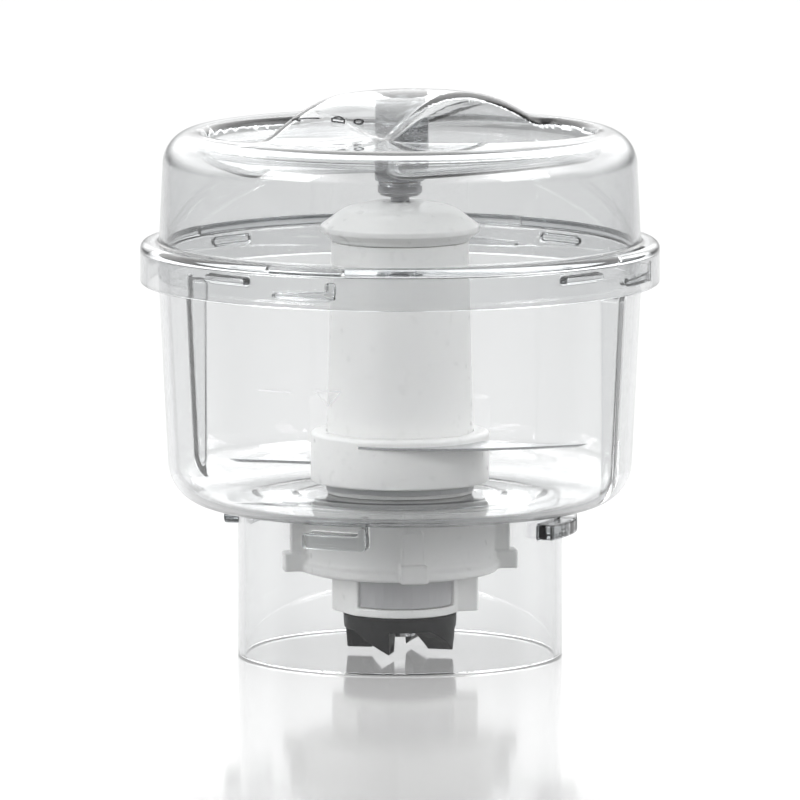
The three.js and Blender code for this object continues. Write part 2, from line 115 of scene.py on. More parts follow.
SKIRT_R = 58.2
SKIRT_TOP = cad("base_skirt", 1, 2)
LUG_R = 64.6
LUG_ANGLE = -22.0
LUG_SPAN = 22.0
LUG_Z = (45, 50.5)
LUG_STOP = 2.5
LUG_ROOT = 1.3

BAYONET_ANGLE = -22.0
BAYONET_SPAN = 14.5
LEDGE_Z = (137.6, 140.2)
LEDGE_RAMP = 1.3
LEDGE_STOP = 1.6
LEDGE_R = (BOWL_RIM_R + CLEARANCE, BAND_R - 1)
WINDOW_R = (BOWL_RIM_R + CLEARANCE, BAND_R - 3.7)
WINDOW_MARGIN = 2
RIM_LUG_Z = (140.8, 143.4)
RIM_LUG_ANGLES = (-50.0, -37.1)
RIM_LUG_R = (BOWL_RIM_R - 1.5, BOWL_RIM_R + 2.6)

HUB_R = cad("blade_hub", 1, 0)
HUB_Z = height_of("blade_hub")
TOWER_R = cad("knife_tower", 1, 0)
TOWER_Z = height_of("knife_tower")
TOWER_TAPER = 1.6
CAP_R = cad("tower_cap", 1, 0)
CAP_Z = height_of("tower_cap")

NUT_LUG_R = cad("lock_nut", 1, 0)
NUT_Z = height_of("lock_nut")
NUT_R = 33.5
NUT_BORE_R = 21.8
NUT_PLATE = 2.8
NUT_PLATE_OUT = 1.6
NUT_FIN_R = 39.6
NUT_FIN_TOP = 48.5
NUT_FIN_ANGLES = (1.7, 12.3)
NUT_FOOT_TOP = 36.9
NUT_FOOT_ANGLES = (0, 14)
COLLAR_Z = height_of("bearing_collar")
COLLAR_R = 20.4
COLLAR_BORE_R = 17.1
COLLAR_WINDOW_ANGLE = 12.5
COLLAR_WINDOW_HALF = 60.5
COLLAR_WINDOW_DEPTH_R = 12
COLLAR_WINDOW_Z = (COLLAR_Z[0] + 3, NUT_Z[0] - 0.8)
WING_Z = (COLLAR_Z[0] + 0.2, NUT_Z[0] - 0.3)
WING_RIGHT = 28.0
WING_LEFT = 24.4
WING_FRONT = 13.5
COUPLING_R = cad("coupling", 1, 0)
COUPLING_Z = height_of("coupling")
COUPLING_TIP_R = 19.3
COUPLING_FLARE = 1.0
COUPLING_DISC_TOP = 14.6
COUPLING_NECK_R = 10
COUPLING_NECK_LOW = 12
COUPLING_BORE_R = 3.65
CLAW_ROOT = 9.6
CLAW_TURN = 97
CLAW_FLAT = 41.0
CLAW_END = 85
CLAW_SLOPE = 0.8
CLAW_HOLLOW_R = 10.2
CLAW_HOLLOW_TAPER = 0.4

BLADE_TIP = {"blade_upper": 70.0, "blade_lower": 62.5}
BLADE_BEVEL = 3.2
BLADE_BACK = 0.5
BLADE_BACK_DROP = 0.1
BLADE_LAND = (0.8, 0.6)
BLADE_ROOT_R = HUB_R - 4.5
CLIP_GROOVE = (139.7, 141.3)
CLIP_GROOVE_DEPTH = 0.7
KNURL_AROUND = 288
KNURL_ROWS = 88
KNURL_DIAMONDS = 20
KNURL_PITCH = 1.9
KNURL_DEPTH = 0.7
KNURL_EDGE = 1.0
KNURL_SKIN = 0.05
INSERT_R = cad("lid_insert", 1, 0) - KNURL_SKIN
INSERT_Z = height_of("lid_insert")
KNURL_POWER = 0.8
INSERT_HOLLOW = (6.4, 181.0)

MARK_STEP = 0.8
MARK_LIFTS = (0.16, 0.03)
GRIP_MARK_Y = -30.0
GRIP_MARK_Z = LID_TOP - 7
FILL_MARK_R = 82.5
FILL_LINE_Z = 103.6


# ---- material nodes --------------------------------------------------------------------------
NOISE_LOW, NOISE_HIGH = 0.3, 0.7


class Nodes:
    """Short way to build a material's node tree."""

    def __init__(self, name):
        self.material = bpy.data.materials.new(name)
        self.material.use_nodes = True
        self.tree = self.material.node_tree
        self.shader = self.tree.nodes["Principled BSDF"]
        self.place = self.add("ShaderNodeTexCoord").outputs["Object"]

    def add(self, kind):
        return self.tree.nodes.new(kind)

    def link(self, start, end):
        self.tree.links.new(start, end)

    def noise(self, scale, detail, stretch=(1, 1, 1), rough=0.5):
        mapping = self.add("ShaderNodeMapping")
        mapping.inputs["Scale"].default_value = stretch
        self.link(self.place, mapping.inputs["Vector"])
        node = self.add("ShaderNodeTexNoise")
        node.inputs["Scale"].default_value = scale
        node.inputs["Detail"].default_value = detail
        node.inputs["Roughness"].default_value = rough
        self.link(mapping.outputs["Vector"], node.inputs["Vector"])
        return node.outputs["Fac"]

    def roughness(self, value, low, high):
        """Roughness that follows a noise between two values."""
        node = self.add("ShaderNodeMapRange")
        node.inputs["From Min"].default_value = NOISE_LOW
        node.inputs["From Max"].default_value = NOISE_HIGH
        node.inputs["To Min"].default_value = low
        node.inputs["To Max"].default_value = high
        self.link(value, node.inputs["Value"])
        self.link(node.outputs["Result"], self.shader.inputs["Roughness"])

    def shade(self, value, dark, light):
        """Base colour that follows a noise between two colours."""
        ramp = self.add("ShaderNodeValToRGB")
        low, high = ramp.color_ramp.elements
        low.position, high.position = NOISE_LOW, NOISE_HIGH
        low.color, high.color = (*dark, 1), (*light, 1)
        self.link(value, ramp.inputs["Fac"])
        self.link(ramp.outputs["Color"], self.shader.inputs["Base Color"])

    def bump(self, value, strength, distance):
        node = self.add("ShaderNodeBump")
        node.inputs["Strength"].default_value = strength
        node.inputs["Distance"].default_value = distance
        self.link(value, node.inputs["Height"])
        self.link(node.outputs["Normal"], self.shader.inputs["Normal"])

    def set(self, **values):
        for key, value in values.items():
            self.shader.inputs[key.replace("_", " ")].default_value = value


def clear_plastic(name, density):
    """Clear plastic that absorbs a little light in its volume."""
    n = Nodes(name)
    n.set(Transmission_Weight=1.0, IOR=1.56, Base_Color=(1, 1, 1, 1))
    n.roughness(n.noise(45, 4), 0.0, 0.035)
    n.bump(n.noise(14, 1), 0.05, 0.0010)
    absorb = n.add("ShaderNodeVolumeAbsorption")
    absorb.inputs["Color"].default_value = (0.50, 0.52, 0.53, 1)
    absorb.inputs["Density"].default_value = density
    n.link(absorb.outputs["Volume"], n.tree.nodes["Material Output"].inputs["Volume"])
    return n.material


def plastic(name, dark, light, blotch, sheen, rough, grain, strength, **inputs):
    """Opaque plastic. Blotch, sheen and grain are the noises of its colour, roughness and bump."""
    n = Nodes(name)
    n.shade(n.noise(*blotch), dark, light)
    n.roughness(n.noise(*sheen), *rough)
    n.bump(n.noise(*grain), strength, 0.0002)
    n.set(**inputs)
    return n.material


def metal(name, noise, dark, light, rough, strength):
    """Bare metal whose colour, roughness and bump all follow one grain."""
    n = Nodes(name)
    grain = n.noise(*noise)
    n.shade(grain, dark, light)
    n.roughness(grain, *rough)
    n.bump(grain, strength, 0.0001)
    n.set(Metallic=1.0)
    return n.material


def steel(name, stretch, rough, tone):
    """Steel with its grain stretched along one axis."""
    return metal(name, (600, 6, stretch, 0.65), tuple(c * 0.86 for c in tone), tone, rough, 0.12)


MATERIALS = {
    "clear_plastic": clear_plastic("clear_plastic", 92.0),
    "smoky_plastic": clear_plastic("smoky_plastic", 135.0),
    "grey_plastic": plastic(
        "grey_plastic", (0.46, 0.46, 0.47), (0.52, 0.52, 0.53),
        (50, 4), (380, 4), (0.34, 0.5), (1300, 3), 0.1,
    ),
    "white_plastic": plastic(
        "white_plastic", (0.89, 0.89, 0.88), (0.93, 0.93, 0.92),
        (30, 3), (260, 4), (0.26, 0.36), (900, 2), 0.05,
        Subsurface_Weight=0.06, Subsurface_Radius=(0.004, 0.004, 0.004), Subsurface_Scale=1.0,
        Specular_IOR_Level=0.5,
    ),
    "polished_steel": steel("polished_steel", (1, 1, 24), (0.10, 0.22), (0.50, 0.50, 0.51)),
    "knurled_steel": steel("knurled_steel", (1, 1, 1), (0.18, 0.30), (0.45, 0.45, 0.46)),
    "blade_steel": steel("blade_steel", (1, 14, 1), (0.14, 0.30), (0.50, 0.51, 0.52)),
    "bronze": metal("bronze", (1400, 5), (0.42, 0.27, 0.12), (0.62, 0.43, 0.22), (0.3, 0.5), 0.2),
    "charcoal_plastic": plastic(
        "charcoal_plastic", (0.006, 0.006, 0.0065), (0.010, 0.0102, 0.011),
        (60, 4), (420, 4), (0.34, 0.52), (1500, 3), 0.14, Specular_IOR_Level=0.1,
    ),
    "silicone": plastic(
        "silicone", (0.62, 0.62, 0.61), (0.70, 0.70, 0.69),
        (80, 3), (500, 3), (0.55, 0.75), (1200, 2), 0.1,
    ),
}


# ---- pieces ----------------------------------------------------------------------------------
def piece(name, points, faces, slot, normals=None, sharp=35, finish=None):
    """A mesh in millimetres becomes a named piece with its slot's material, or a finish of its own."""
    mesh = bpy.data.meshes.new(name)
    mesh.from_pydata((np.asarray(points, float) * MM).tolist(), [], [list(face) for face in faces])
    mesh.validate()
    if normals is None:
        solid = bmesh.new()
        solid.from_mesh(mesh)
        bmesh.ops.recalc_face_normals(solid, faces=solid.faces)
        solid.to_mesh(mesh)
        solid.free()
    mesh.polygons.foreach_set("use_smooth", [True] * len(mesh.polygons))
    if normals is None:
        mesh.set_sharp_from_angle(angle=math.radians(sharp))
    else:
        mesh.normals_split_custom_set_from_vertices(normals.tolist())
    mesh.materials.append(MATERIALS[finish or slot])
    obj = bpy.data.objects.new(name, mesh)
    bpy.context.scene.collection.objects.link(obj)
    return obj


def place(obj, body, *nodes):
    """The piece rides on a body and stands for CAD nodes, if any are named."""
    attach(obj, body)
    if nodes:
        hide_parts(*nodes)


def fillet(corners, steps):
    """A closed outline of (r, z, radius) corners, each rounded by its radius."""
    outline = []
    count = len(corners)
    for i, (r, z, radius) in enumerate(corners):
        here = Vector((r, z))
        if radius <= 0:
            outline.append(here)
            continue
        before = (Vector(corners[i - 1][:2]) - here).normalized()
        after = (Vector(corners[(i + 1) % count][:2]) - here).normalized()
        half = before.angle(after) / 2
        reach = radius / math.tan(half)
        centre = here + (before + after).normalized() * (radius / math.sin(half))
        start = here + before * reach - centre
        end = here + after * reach - centre
        turned = start.angle(end) > 1e-4
        for k in range(steps + 1):
            outline.append(centre + start.slerp(end, k / steps) * radius if turned else here)
    return outline


def lathe(name, corners, slot, around=128, steps=6):
    """Turns a closed outline of (r, z, fillet radius) corners round Z. Corners at r = 0 meet there."""
    outline = fillet(corners, steps)
    turns = np.linspace(0, 2 * math.pi, around, endpoint=False)
    points = []
    rings = []
    for r, z in outline:
        if r < 1e-6:
            rings.append([len(points)] * around)
            points.append((0, 0, z))
            continue
        rings.append(list(range(len(points), len(points) + around)))
        points.extend((r * math.cos(a), r * math.sin(a), z) for a in turns)
    faces = []
    for i, ring in enumerate(rings):
        other = rings[(i + 1) % len(rings)]
        if ring[0] == ring[1] and other[0] == other[1]:
            continue
        for k in range(around):
            j = (k + 1) % around
            corner = [ring[k], ring[j], other[j], other[k]]
            faces.append(list(dict.fromkeys(corner)))
    area = sum(a.x * b.y - b.x * a.y for a, b in zip(outline, outline[1:] + outline[:1]))
    if area < 0:
        faces = [face[::-1] for face in faces]
    return piece(name, points, faces, slot)


# ---- rounded solids from distance fields -----------------------------------------------------
# A field is negative inside its solid. The last number given to both, either and less is the
# radius of the rounding between the two solids.
def both(a, b, radius=0.0):
    """Where two solids meet, with the edge between them rounded."""
    if radius <= 0:
        return np.maximum(a, b)
    return np.minimum(np.maximum(a, b), -radius) + np.hypot(
        np.maximum(a + radius, 0), np.maximum(b + radius, 0)
    )


def either(a, b, radius=0.0):
    """Two solids joined, with a fillet between them."""
    return -both(-a, -b, radius)


def less(a, b, radius=0.0):
    """A solid with another cut out of it."""
    return both(a, -b, radius)


def between(value, low, high):
    """Distance outside a range."""
    return np.maximum(low - value, value - high)


def front_angle(x, y):
    """Angle in degrees from the front (-Y), growing towards +X."""
    return np.degrees(np.arctan2(x, -y))


def sector(x, y, from_angle, to_angle):
    """Distance to the sides of a sector that repeats every quarter turn."""
    middle = (from_angle + to_angle) / 2
    half = (to_angle - from_angle) / 2
    away = np.abs((front_angle(x, y) - middle + 45) % 90 - 45) - half
    return np.radians(away) * np.hypot(x, y)


def grid(*stretches):
    """Grid values along one axis: each stretch is (start, end, step)."""
    values = []
    for start, end, step in stretches:
        count = max(1, round((end - start) / step))
        values.extend(start + (end - start) * k / count for k in range(count))
    return np.array(values + [stretches[-1][1]])


def level_values(field, turns, radii, z):
    """The field on one level of a round grid."""
    angle = np.repeat(turns[:, None], len(radii), 1)
    radius = np.repeat(radii[None, :], len(turns), 0)
    return field(radius * np.cos(angle), radius * np.sin(angle), np.full(angle.shape, z))


def crossings(values):
    """Per grid cell, the sum of the spots where the surface crosses its edges, and their number."""
    cells = np.array(values.shape) - 1
    total = np.zeros((*cells, 3))
    count = np.zeros(cells)
    for axis in range(3):
        for i, j in ((0, 0), (0, 1), (1, 0), (1, 1)):
            start = [i, j]
            start.insert(axis, 0)
            end = list(start)
            end[axis] = 1
            a, b = (
                values[p:p + cells[0], q:q + cells[1], r:r + cells[2]]
                for p, q, r in (start, end)
            )
            crossed = (a < 0) != (b < 0)
            share = np.where(crossed, a / np.where(crossed, a - b, 1), 0)
            for k in range(3):
                total[..., k] += np.where(crossed, start[k] + (share if k == axis else 0), 0)
            count += crossed
    return total, count


def cell_quads(inside, number, around):
    """A quad between the four cells round each grid edge that the surface crosses."""
    faces = []
    for axis in range(3):
        u, v = [k for k in range(3) if k != axis]
        ahead = np.take(inside, range(1, inside.shape[axis]), axis)
        behind = np.take(inside, range(inside.shape[axis] - 1), axis)
        spots = np.argwhere(ahead != behind)
        spots = spots[spots[:, 0] < around]
        for k in (u, v):
            if k > 0:
                spots = spots[(spots[:, k] > 0) & (spots[:, k] < number.shape[k])]
        corners = []
        for du, dv in ((1, 1), (0, 1), (0, 0), (1, 0)):
            cell = spots.copy()
            cell[:, u] -= du
            cell[:, v] -= dv
            cell[:, 0] %= around
            corners.append(number[tuple(cell.T)])
        quads = np.stack(corners, axis=1)
        outward = behind[tuple(spots.T)]
        flip = outward if axis != 1 else ~outward
        quads[flip] = quads[flip][:, ::-1]
        faces.extend(quads.tolist())
    return faces


def net(field, around, radii, heights):
    """Surface of a field on a round grid, by surface nets, with its points moved onto the surface."""
    turns = np.linspace(0, 2 * math.pi, around, endpoint=False)
    values = np.stack([level_values(field, turns, radii, z) for z in heights], axis=-1)
    values = np.concatenate([values, values[:1]], axis=0)
    total, count = crossings(values)
    used = count > 0
    number = np.full(used.shape, -1)
    number[used] = np.arange(used.sum())
    spot = np.argwhere(used) + total[used] / count[used][:, None]
    angle = spot[:, 0] * 2 * math.pi / around
    radius = np.interp(spot[:, 1], np.arange(len(radii)), radii)
    height = np.interp(spot[:, 2], np.arange(len(heights)), heights)
    points = np.stack([radius * np.cos(angle), radius * np.sin(angle), height], axis=1)
    inside = values < 0
    faces = cell_quads(inside, number, around)
    if radii[0] == 0:
        for k in np.flatnonzero(inside[0, 0, 1:] != inside[0, 0, :-1]):
            ring = number[:, 0, k].tolist()
            faces.append(ring if inside[0, 0, k] else ring[::-1])
    points = onto(field, points, 0.5)
    slope = gradient(field, points)
    return points, faces, slope / np.linalg.norm(slope, axis=1, keepdims=True)


def onto(field, points, limit):
    """Moves points onto the surface of a field along its slope, at most by the limit each time."""
    for _ in range(5):
        slope = gradient(field, points)
        move = slope * (field(*points.T) / np.maximum((slope ** 2).sum(1), 0.05))[:, None]
        length = np.linalg.norm(move, axis=1, keepdims=True)
        points = points - move * np.minimum(1, limit / np.maximum(length, 1e-9))
    return points


def gradient(field, points, reach=0.04):
    """Slope of a field at each point, by central differences."""
    columns = []
    for axis in range(3):
        step = np.zeros(3)
        step[axis] = reach
        columns.append((field(*(points + step).T) - field(*(points - step).T)) / (2 * reach))
    return np.stack(columns, axis=1)


# ---- clear lid -------------------------------------------------------------------------------
def arch(s):
    """Height of the grip's arch along its length."""
    reach = np.minimum(1, np.abs(s) / SCOOP_R)
    return GRIP_ARCH * (1 - reach ** 2) ** GRIP_ARCH_POWER


def lid_outside(x, y, z):
    """The lid as if it were solid: dome, grip and scoops."""
    r = np.hypot(x, y)
    s = x * math.cos(GRIP_TURN) + y * math.sin(GRIP_TURN)
    t = x * math.sin(GRIP_TURN) - y * math.cos(GRIP_TURN)
    across = np.clip(t / GRIP_HALF, -1, 1)
    edge = arch(s + GRIP_SHIFT) * (1 - across) / 2 + arch(s - GRIP_SHIFT) * (1 + across) / 2
    hump = edge * (1 + (GRIP_CROWN / GRIP_ARCH) * (1 - across ** 2))
    beyond = np.maximum(np.abs(t) - GRIP_HALF, 0)
    hump = hump * np.exp(-(beyond / GRIP_FADE) ** 2)
    dome = DOME_TOP - DOME_CROWN * np.minimum(r / DOME_CROWN_R, 1) ** 2
    top = z - (dome + hump - GRIP_FOOT * (1 - np.exp(-hump)))
    side = r - (DOME_R - DRAFT * (z - FLANGE_TOP))
    shape = both(side, top * DOME_TOP_SCALE, SHOULDER)
    for hand in (1, -1):
        wall = GRIP_HALF - hand * t
        away = np.hypot(s - hand * GRIP_SHIFT, hand * t - GRIP_HALF + SCOOP_SHIFT) - SCOOP_R
        floor = SCOOP_FLOOR + SCOOP_TILT * (hand * t - GRIP_HALF) - z
        scoop = both(both(wall, away, SCOOP_CORNER), floor, SCOOP_FILLET)
        shape = less(shape, scoop, SCOOP_LIP)
    return shape


def lid_field(x, y, z):
    """The lid as a shell, with its boss, rim, band, windows, ledges and stops."""
    r = np.hypot(x, y)
    outside = lid_outside(x, y, z)
    under = FLANGE_TOP - WALL
    shell = both(less(outside, outside + WALL), under - z)
    boss = both(both(r - BOSS_R, BOSS_LOW - z, 0.6), outside + BOSS_SKIN)
    shell = either(shell, boss, 0.5)
    shell = less(shell, both(r - INSERT_BORE_R, z - INSERT_BORE_TOP), 0.3)
    rim = both(both(r - BAND_R, z - FLANGE_TOP, BAND_ROUND), BAND_LOW - z, 0.7)
    room = both(r - (BAND_R - WALL), z - under, 1.0)
    rim = both(less(rim, room, 0.5), BAND_INSIDE_R - r)
    shape = either(shell, rim, 0.9)
    start, end = (BAYONET_ANGLE + k * BAYONET_SPAN / 2 for k in (-1, 1))
    opening = sector(x, y, start - WINDOW_MARGIN, end + WINDOW_MARGIN)
    window = both(both(between(r, *WINDOW_R), opening, 0.6), between(z, under - 2, FLANGE_TOP + 4))
    shape = less(shape, window, 0.3)
    entry = np.clip((end - (front_angle(x, y) - start) % 90 - start) / BAYONET_SPAN, 0, 1)
    ledge_height = between(z, LEDGE_Z[0], LEDGE_Z[1] - LEDGE_RAMP * entry)
    ledge = both(both(sector(x, y, start, end), ledge_height, 0.4), between(r, *LEDGE_R), 0.3)
    stop_height = between(z, LEDGE_Z[0] + 1, RIM_LUG_Z[1])
    stop = both(sector(x, y, end - LEDGE_STOP, end), stop_height, 0.5)
    stop = both(stop, between(r, *LEDGE_R), 0.3)
    return either(either(shape, ledge, 0.5), stop, 0.5)


# ---- clear bowl and skirt --------------------------------------------------------------------
def bowl_outside(x, y, z):
    """The bowl as if it were solid."""
    slope = (BOWL_RIM_R - CORNER_R - CORNER) / (BOWL_RIM_Z - BOWL_LOW - CORNER)
    wall = CORNER_R + CORNER
    side = (np.hypot(x, y) - wall - slope * (z - BOWL_LOW - CORNER)) * math.cos(math.atan(slope))
    return both(side, BOWL_LOW - z, CORNER)


def bowl_field(x, y, z):
    """The bowl as a shell, with its hole, ribs, rim lugs and floor ridges."""
    r = np.hypot(x, y)
    outside = bowl_outside(x, y, z)
    shape = both(less(outside, outside + WALL), z - BOWL_RIM_Z, 0.9)
    shape = less(shape, r - HOLE_R, 0.3)
    for turn in (RIB_ANGLE, RIB_ANGLE + 180):
        angle = math.radians(turn)
        along = x * math.sin(angle) - y * math.cos(angle)
        across = x * math.cos(angle) + y * math.sin(angle)
        rib = both(np.abs(across) - RIB_HALF, RIB_R - along, 1.3)
        rib = both(rib, both(outside + RIB_SKIN, between(z, *RIB_Z)), 0.8)
        shape = either(shape, rib, RIB_FILLET)
    lug = both(sector(x, y, *RIM_LUG_ANGLES), between(z, *RIM_LUG_Z), 1.2)
    shape = either(shape, both(lug, between(r, *RIM_LUG_R), 1.0), 0.9)
    for ridge in FLOOR_RIDGES:
        ring = np.hypot(r - ridge, z - (BOWL_LOW + WALL)) - FLOOR_RIDGE_R
        shape = either(shape, ring, 0.5)
    return shape


def skirt_field(x, y, z):
    """The skirt's tube with its bayonet lugs and their stops."""
    r = np.hypot(x, y)
    tube = both(between(r, SKIRT_R - WALL, SKIRT_R), between(z, 0, SKIRT_TOP), 0.5)
    first, last = LUG_ANGLE - LUG_SPAN / 2, LUG_ANGLE + LUG_SPAN / 2
    reach = between(r, SKIRT_R - LUG_ROOT, LUG_R)
    lug = both(both(sector(x, y, first, last), between(z, *LUG_Z), 1.0), reach, 0.9)
    stop_height = between(z, LUG_Z[0] + 1, SKIRT_TOP - 1)
    stop = both(both(sector(x, y, last - LUG_STOP, last), stop_height, 0.8), reach, 0.7)
    return either(tube, either(lug, stop, 0.6), 0.7)


# ---- mouldings under the bowl ----------------------------------------------------------------
def nut_field(x, y, z):
    """The lock nut's drum on its plate, with four lugs that are each a fin on a foot."""
    r = np.hypot(x, y)
    drum = both(r - NUT_R, between(z, *NUT_Z), 0.6)
    plate = both(r - NUT_R - NUT_PLATE_OUT, between(z, NUT_Z[0], NUT_Z[0] + NUT_PLATE), 0.9)
    shape = either(drum, plate, 2.0)
    fin = both(sector(x, y, *NUT_FIN_ANGLES), r - NUT_FIN_R, 0.8)
    fin = both(fin, between(z, NUT_Z[0] + 1, NUT_FIN_TOP), 0.7)
    foot = both(sector(x, y, *NUT_FOOT_ANGLES), r - NUT_LUG_R, 0.9)
    foot = both(foot, between(z, NUT_Z[0], NUT_FOOT_TOP), 0.8)
    lugs = either(both(fin, NUT_R - 2 - r), both(foot, NUT_R - 3 - r), 0.5)
    return less(either(shape, lugs, 1.4), r - NUT_BORE_R, 0.4)


def collar_field(x, y, z):
    """The collar's ring with a window in front and a wing on each side, whose sides are planes."""
    r = np.hypot(x, y)
    body = both(r - COLLAR_R, between(z, *COLLAR_Z), 0.4)
    right = both(x - WING_RIGHT, -y - 4 + 0.32 * (x - 20), 0.8)
    right = both(right, both(y - 8.5, 14 - x, 0.1), 0.8)
    left = both(-x - WING_LEFT, y - 7, 0.8)
    left = both(left, both(-(0.84 * x + 0.54 * y) - 20.2, x + 12, 0.1), 0.8)
    left = both(left, -y - WING_FRONT, 0.8)
    wings = both(either(right, left), between(z, *WING_Z), 0.6)
    gap = np.radians(np.abs(front_angle(x, y) - COLLAR_WINDOW_ANGLE) - COLLAR_WINDOW_HALF) * r
    window = both(gap, between(z, *COLLAR_WINDOW_Z), 0.8)
    shape = less(either(body, wings, 0.8), r - COLLAR_BORE_R, 0.4)
    return less(shape, both(window, COLLAR_WINDOW_DEPTH_R - r), 0.4)


def coupling_field(x, y, z):
    """The coupling's neck and disc, with four saw teeth under it round a hollow."""
    r = np.hypot(x, y)
    low, high = COUPLING_Z[0], CLAW_ROOT
    flare = COUPLING_FLARE * np.clip((z - low) / (high + 3 - low), 0, 1)
    body = both(r - (COUPLING_TIP_R + flare), between(z, low, COUPLING_DISC_TOP), 0.5)
    along = (front_angle(x, y) + CLAW_TURN) % 90
    ramp = np.clip((along - CLAW_FLAT) / (CLAW_END - CLAW_FLAT), 0, 1)
    under = (high + (low - high) * ramp - z) * CLAW_SLOPE
    under = np.where((along > CLAW_END) | (along < 0.5), high - z, under)
    hollow = both(r - (CLAW_HOLLOW_R - CLAW_HOLLOW_TAPER * (z - low)), z - high)
    claws = less(both(body, under), hollow, 0.4)
    neck = both(r - COUPLING_NECK_R, between(z, COUPLING_NECK_LOW, COUPLING_Z[1]), 0.5)
    return less(either(claws, neck, 0.8), r - COUPLING_BORE_R, 0.2)


# ---- build -----------------------------------------------------------------------------------
# Name, body, CAD node, field, points around, stretches of the grid's radii and heights, slot.
CLEAR_PARTS = [
    ("lid", "lid", "lid_shell", lid_field, 360,
     [(0, 82, 1.4), (82, 94, 0.55)],
     [(133, 150, 0.6), (150, 175, 2.4), (175, 203.6, 1.0)], "smoky_plastic"),
    ("bowl_shell", "bowl", "bowl", bowl_field, 360,
     [(21, 24, 0.6), (24, 66, 1.6), (66, 90.6, 0.55)],
     [(53.5, 69, 0.7), (69, 132, 3.0), (132, 146.5, 0.6)], "clear_plastic"),
    ("skirt", "bowl", "base_skirt", skirt_field, 360,
     [(54.7, LUG_R + 0.9, 0.45)],
     [(-0.9, 2, 0.45), (2, 43.5, 3.2), (43.5, SKIRT_TOP + 0.8, 0.45)], "clear_plastic"),
]
DRIVE_PARTS = [
    ("nut", "lock_nut", "lock_nut", nut_field, 300,
     [(20.8, 23, 0.5), (23, 32, 1.5), (32, 43.2, 0.55)],
     [(NUT_Z[0] - 0.9, 38, 0.45), (38, 47, 1.5), (47, NUT_Z[1] + 0.9, 0.6)], "white_plastic"),
    ("collar", "bowl", "bearing_collar", collar_field, 240,
     [(16.2, 30, 0.45)],
     [(COLLAR_Z[0] - 0.8, COLLAR_Z[1] + 0.8, 0.5)], "white_plastic"),
    ("dog_coupling", "drive", "coupling", coupling_field, 300,
     [(2.8, COUPLING_R + 0.8, 0.42)],
     [(COUPLING_Z[0] - 0.6, COUPLING_Z[1] + 0.8, 0.42)], "charcoal_plastic"),
]


def build_mouldings(rows):
    """Makes each row's piece from its distance field, on a round grid about Z."""
    for name, body, node, field, around, radii, heights, slot in rows:
        points, faces, normals = net(field, around, grid(*radii), grid(*heights))
        place(piece(name, points, faces, slot, normals), body, node)


def build_tower():
    top_r = TOWER_R - TOWER_TAPER
    low, top = TOWER_Z
    inner_r = TOWER_R - WALL
    tower = lathe("tower", [
        (TOWER_R, low, 0.4), (TOWER_R, HUB_Z[1], 0), (top_r, top, 0.3), (top_r - 2.4, top, 0.3),
        (inner_r, HUB_Z[1], 0), (inner_r, low, 0.3),
    ], "white_plastic")
    place(tower, "knife", "knife_tower")
    low, top = CAP_Z
    cap = lathe("cap", [
        (8.6, low, 0.2), (12.5, low, 0.4), (12.5, 152.6, 1.0), (19.4, 151, 1.0), (19.4, 143, 0.3),
        (21.7, 143, 0.4), (21.7, 149, 0), (24.8, 149, 0.2), (25.6, 150.4, 0.8), (CAP_R, 152.4, 0.7),
        (CAP_R, 154.3, 0.9), (19.6, 160.9, 14), (9.0, top, 8), (3.7, top, 0.3), (3.7, 153.4, 0.1),
        (8.6, 153.4, 0.1),
    ], "white_plastic", steps=10)
    place(cap, "knife", "tower_cap")
    low, top = HUB_Z
    bore = TOWER_R + 0.3
    hub = lathe("hub", [
        (bore, low, 0.4), (HUB_R, low, 0.9), (HUB_R, top, 1.4), (bore, top, 0.3),
    ], "white_plastic")
    place(hub, "knife", "blade_hub")


def bezier(points, t):
    """Point of a Bezier curve of any degree."""
    points = np.asarray(points, float)
    while len(points) > 1:
        points = points[:-1] * (1 - t) + points[1:] * t
    return points[0]


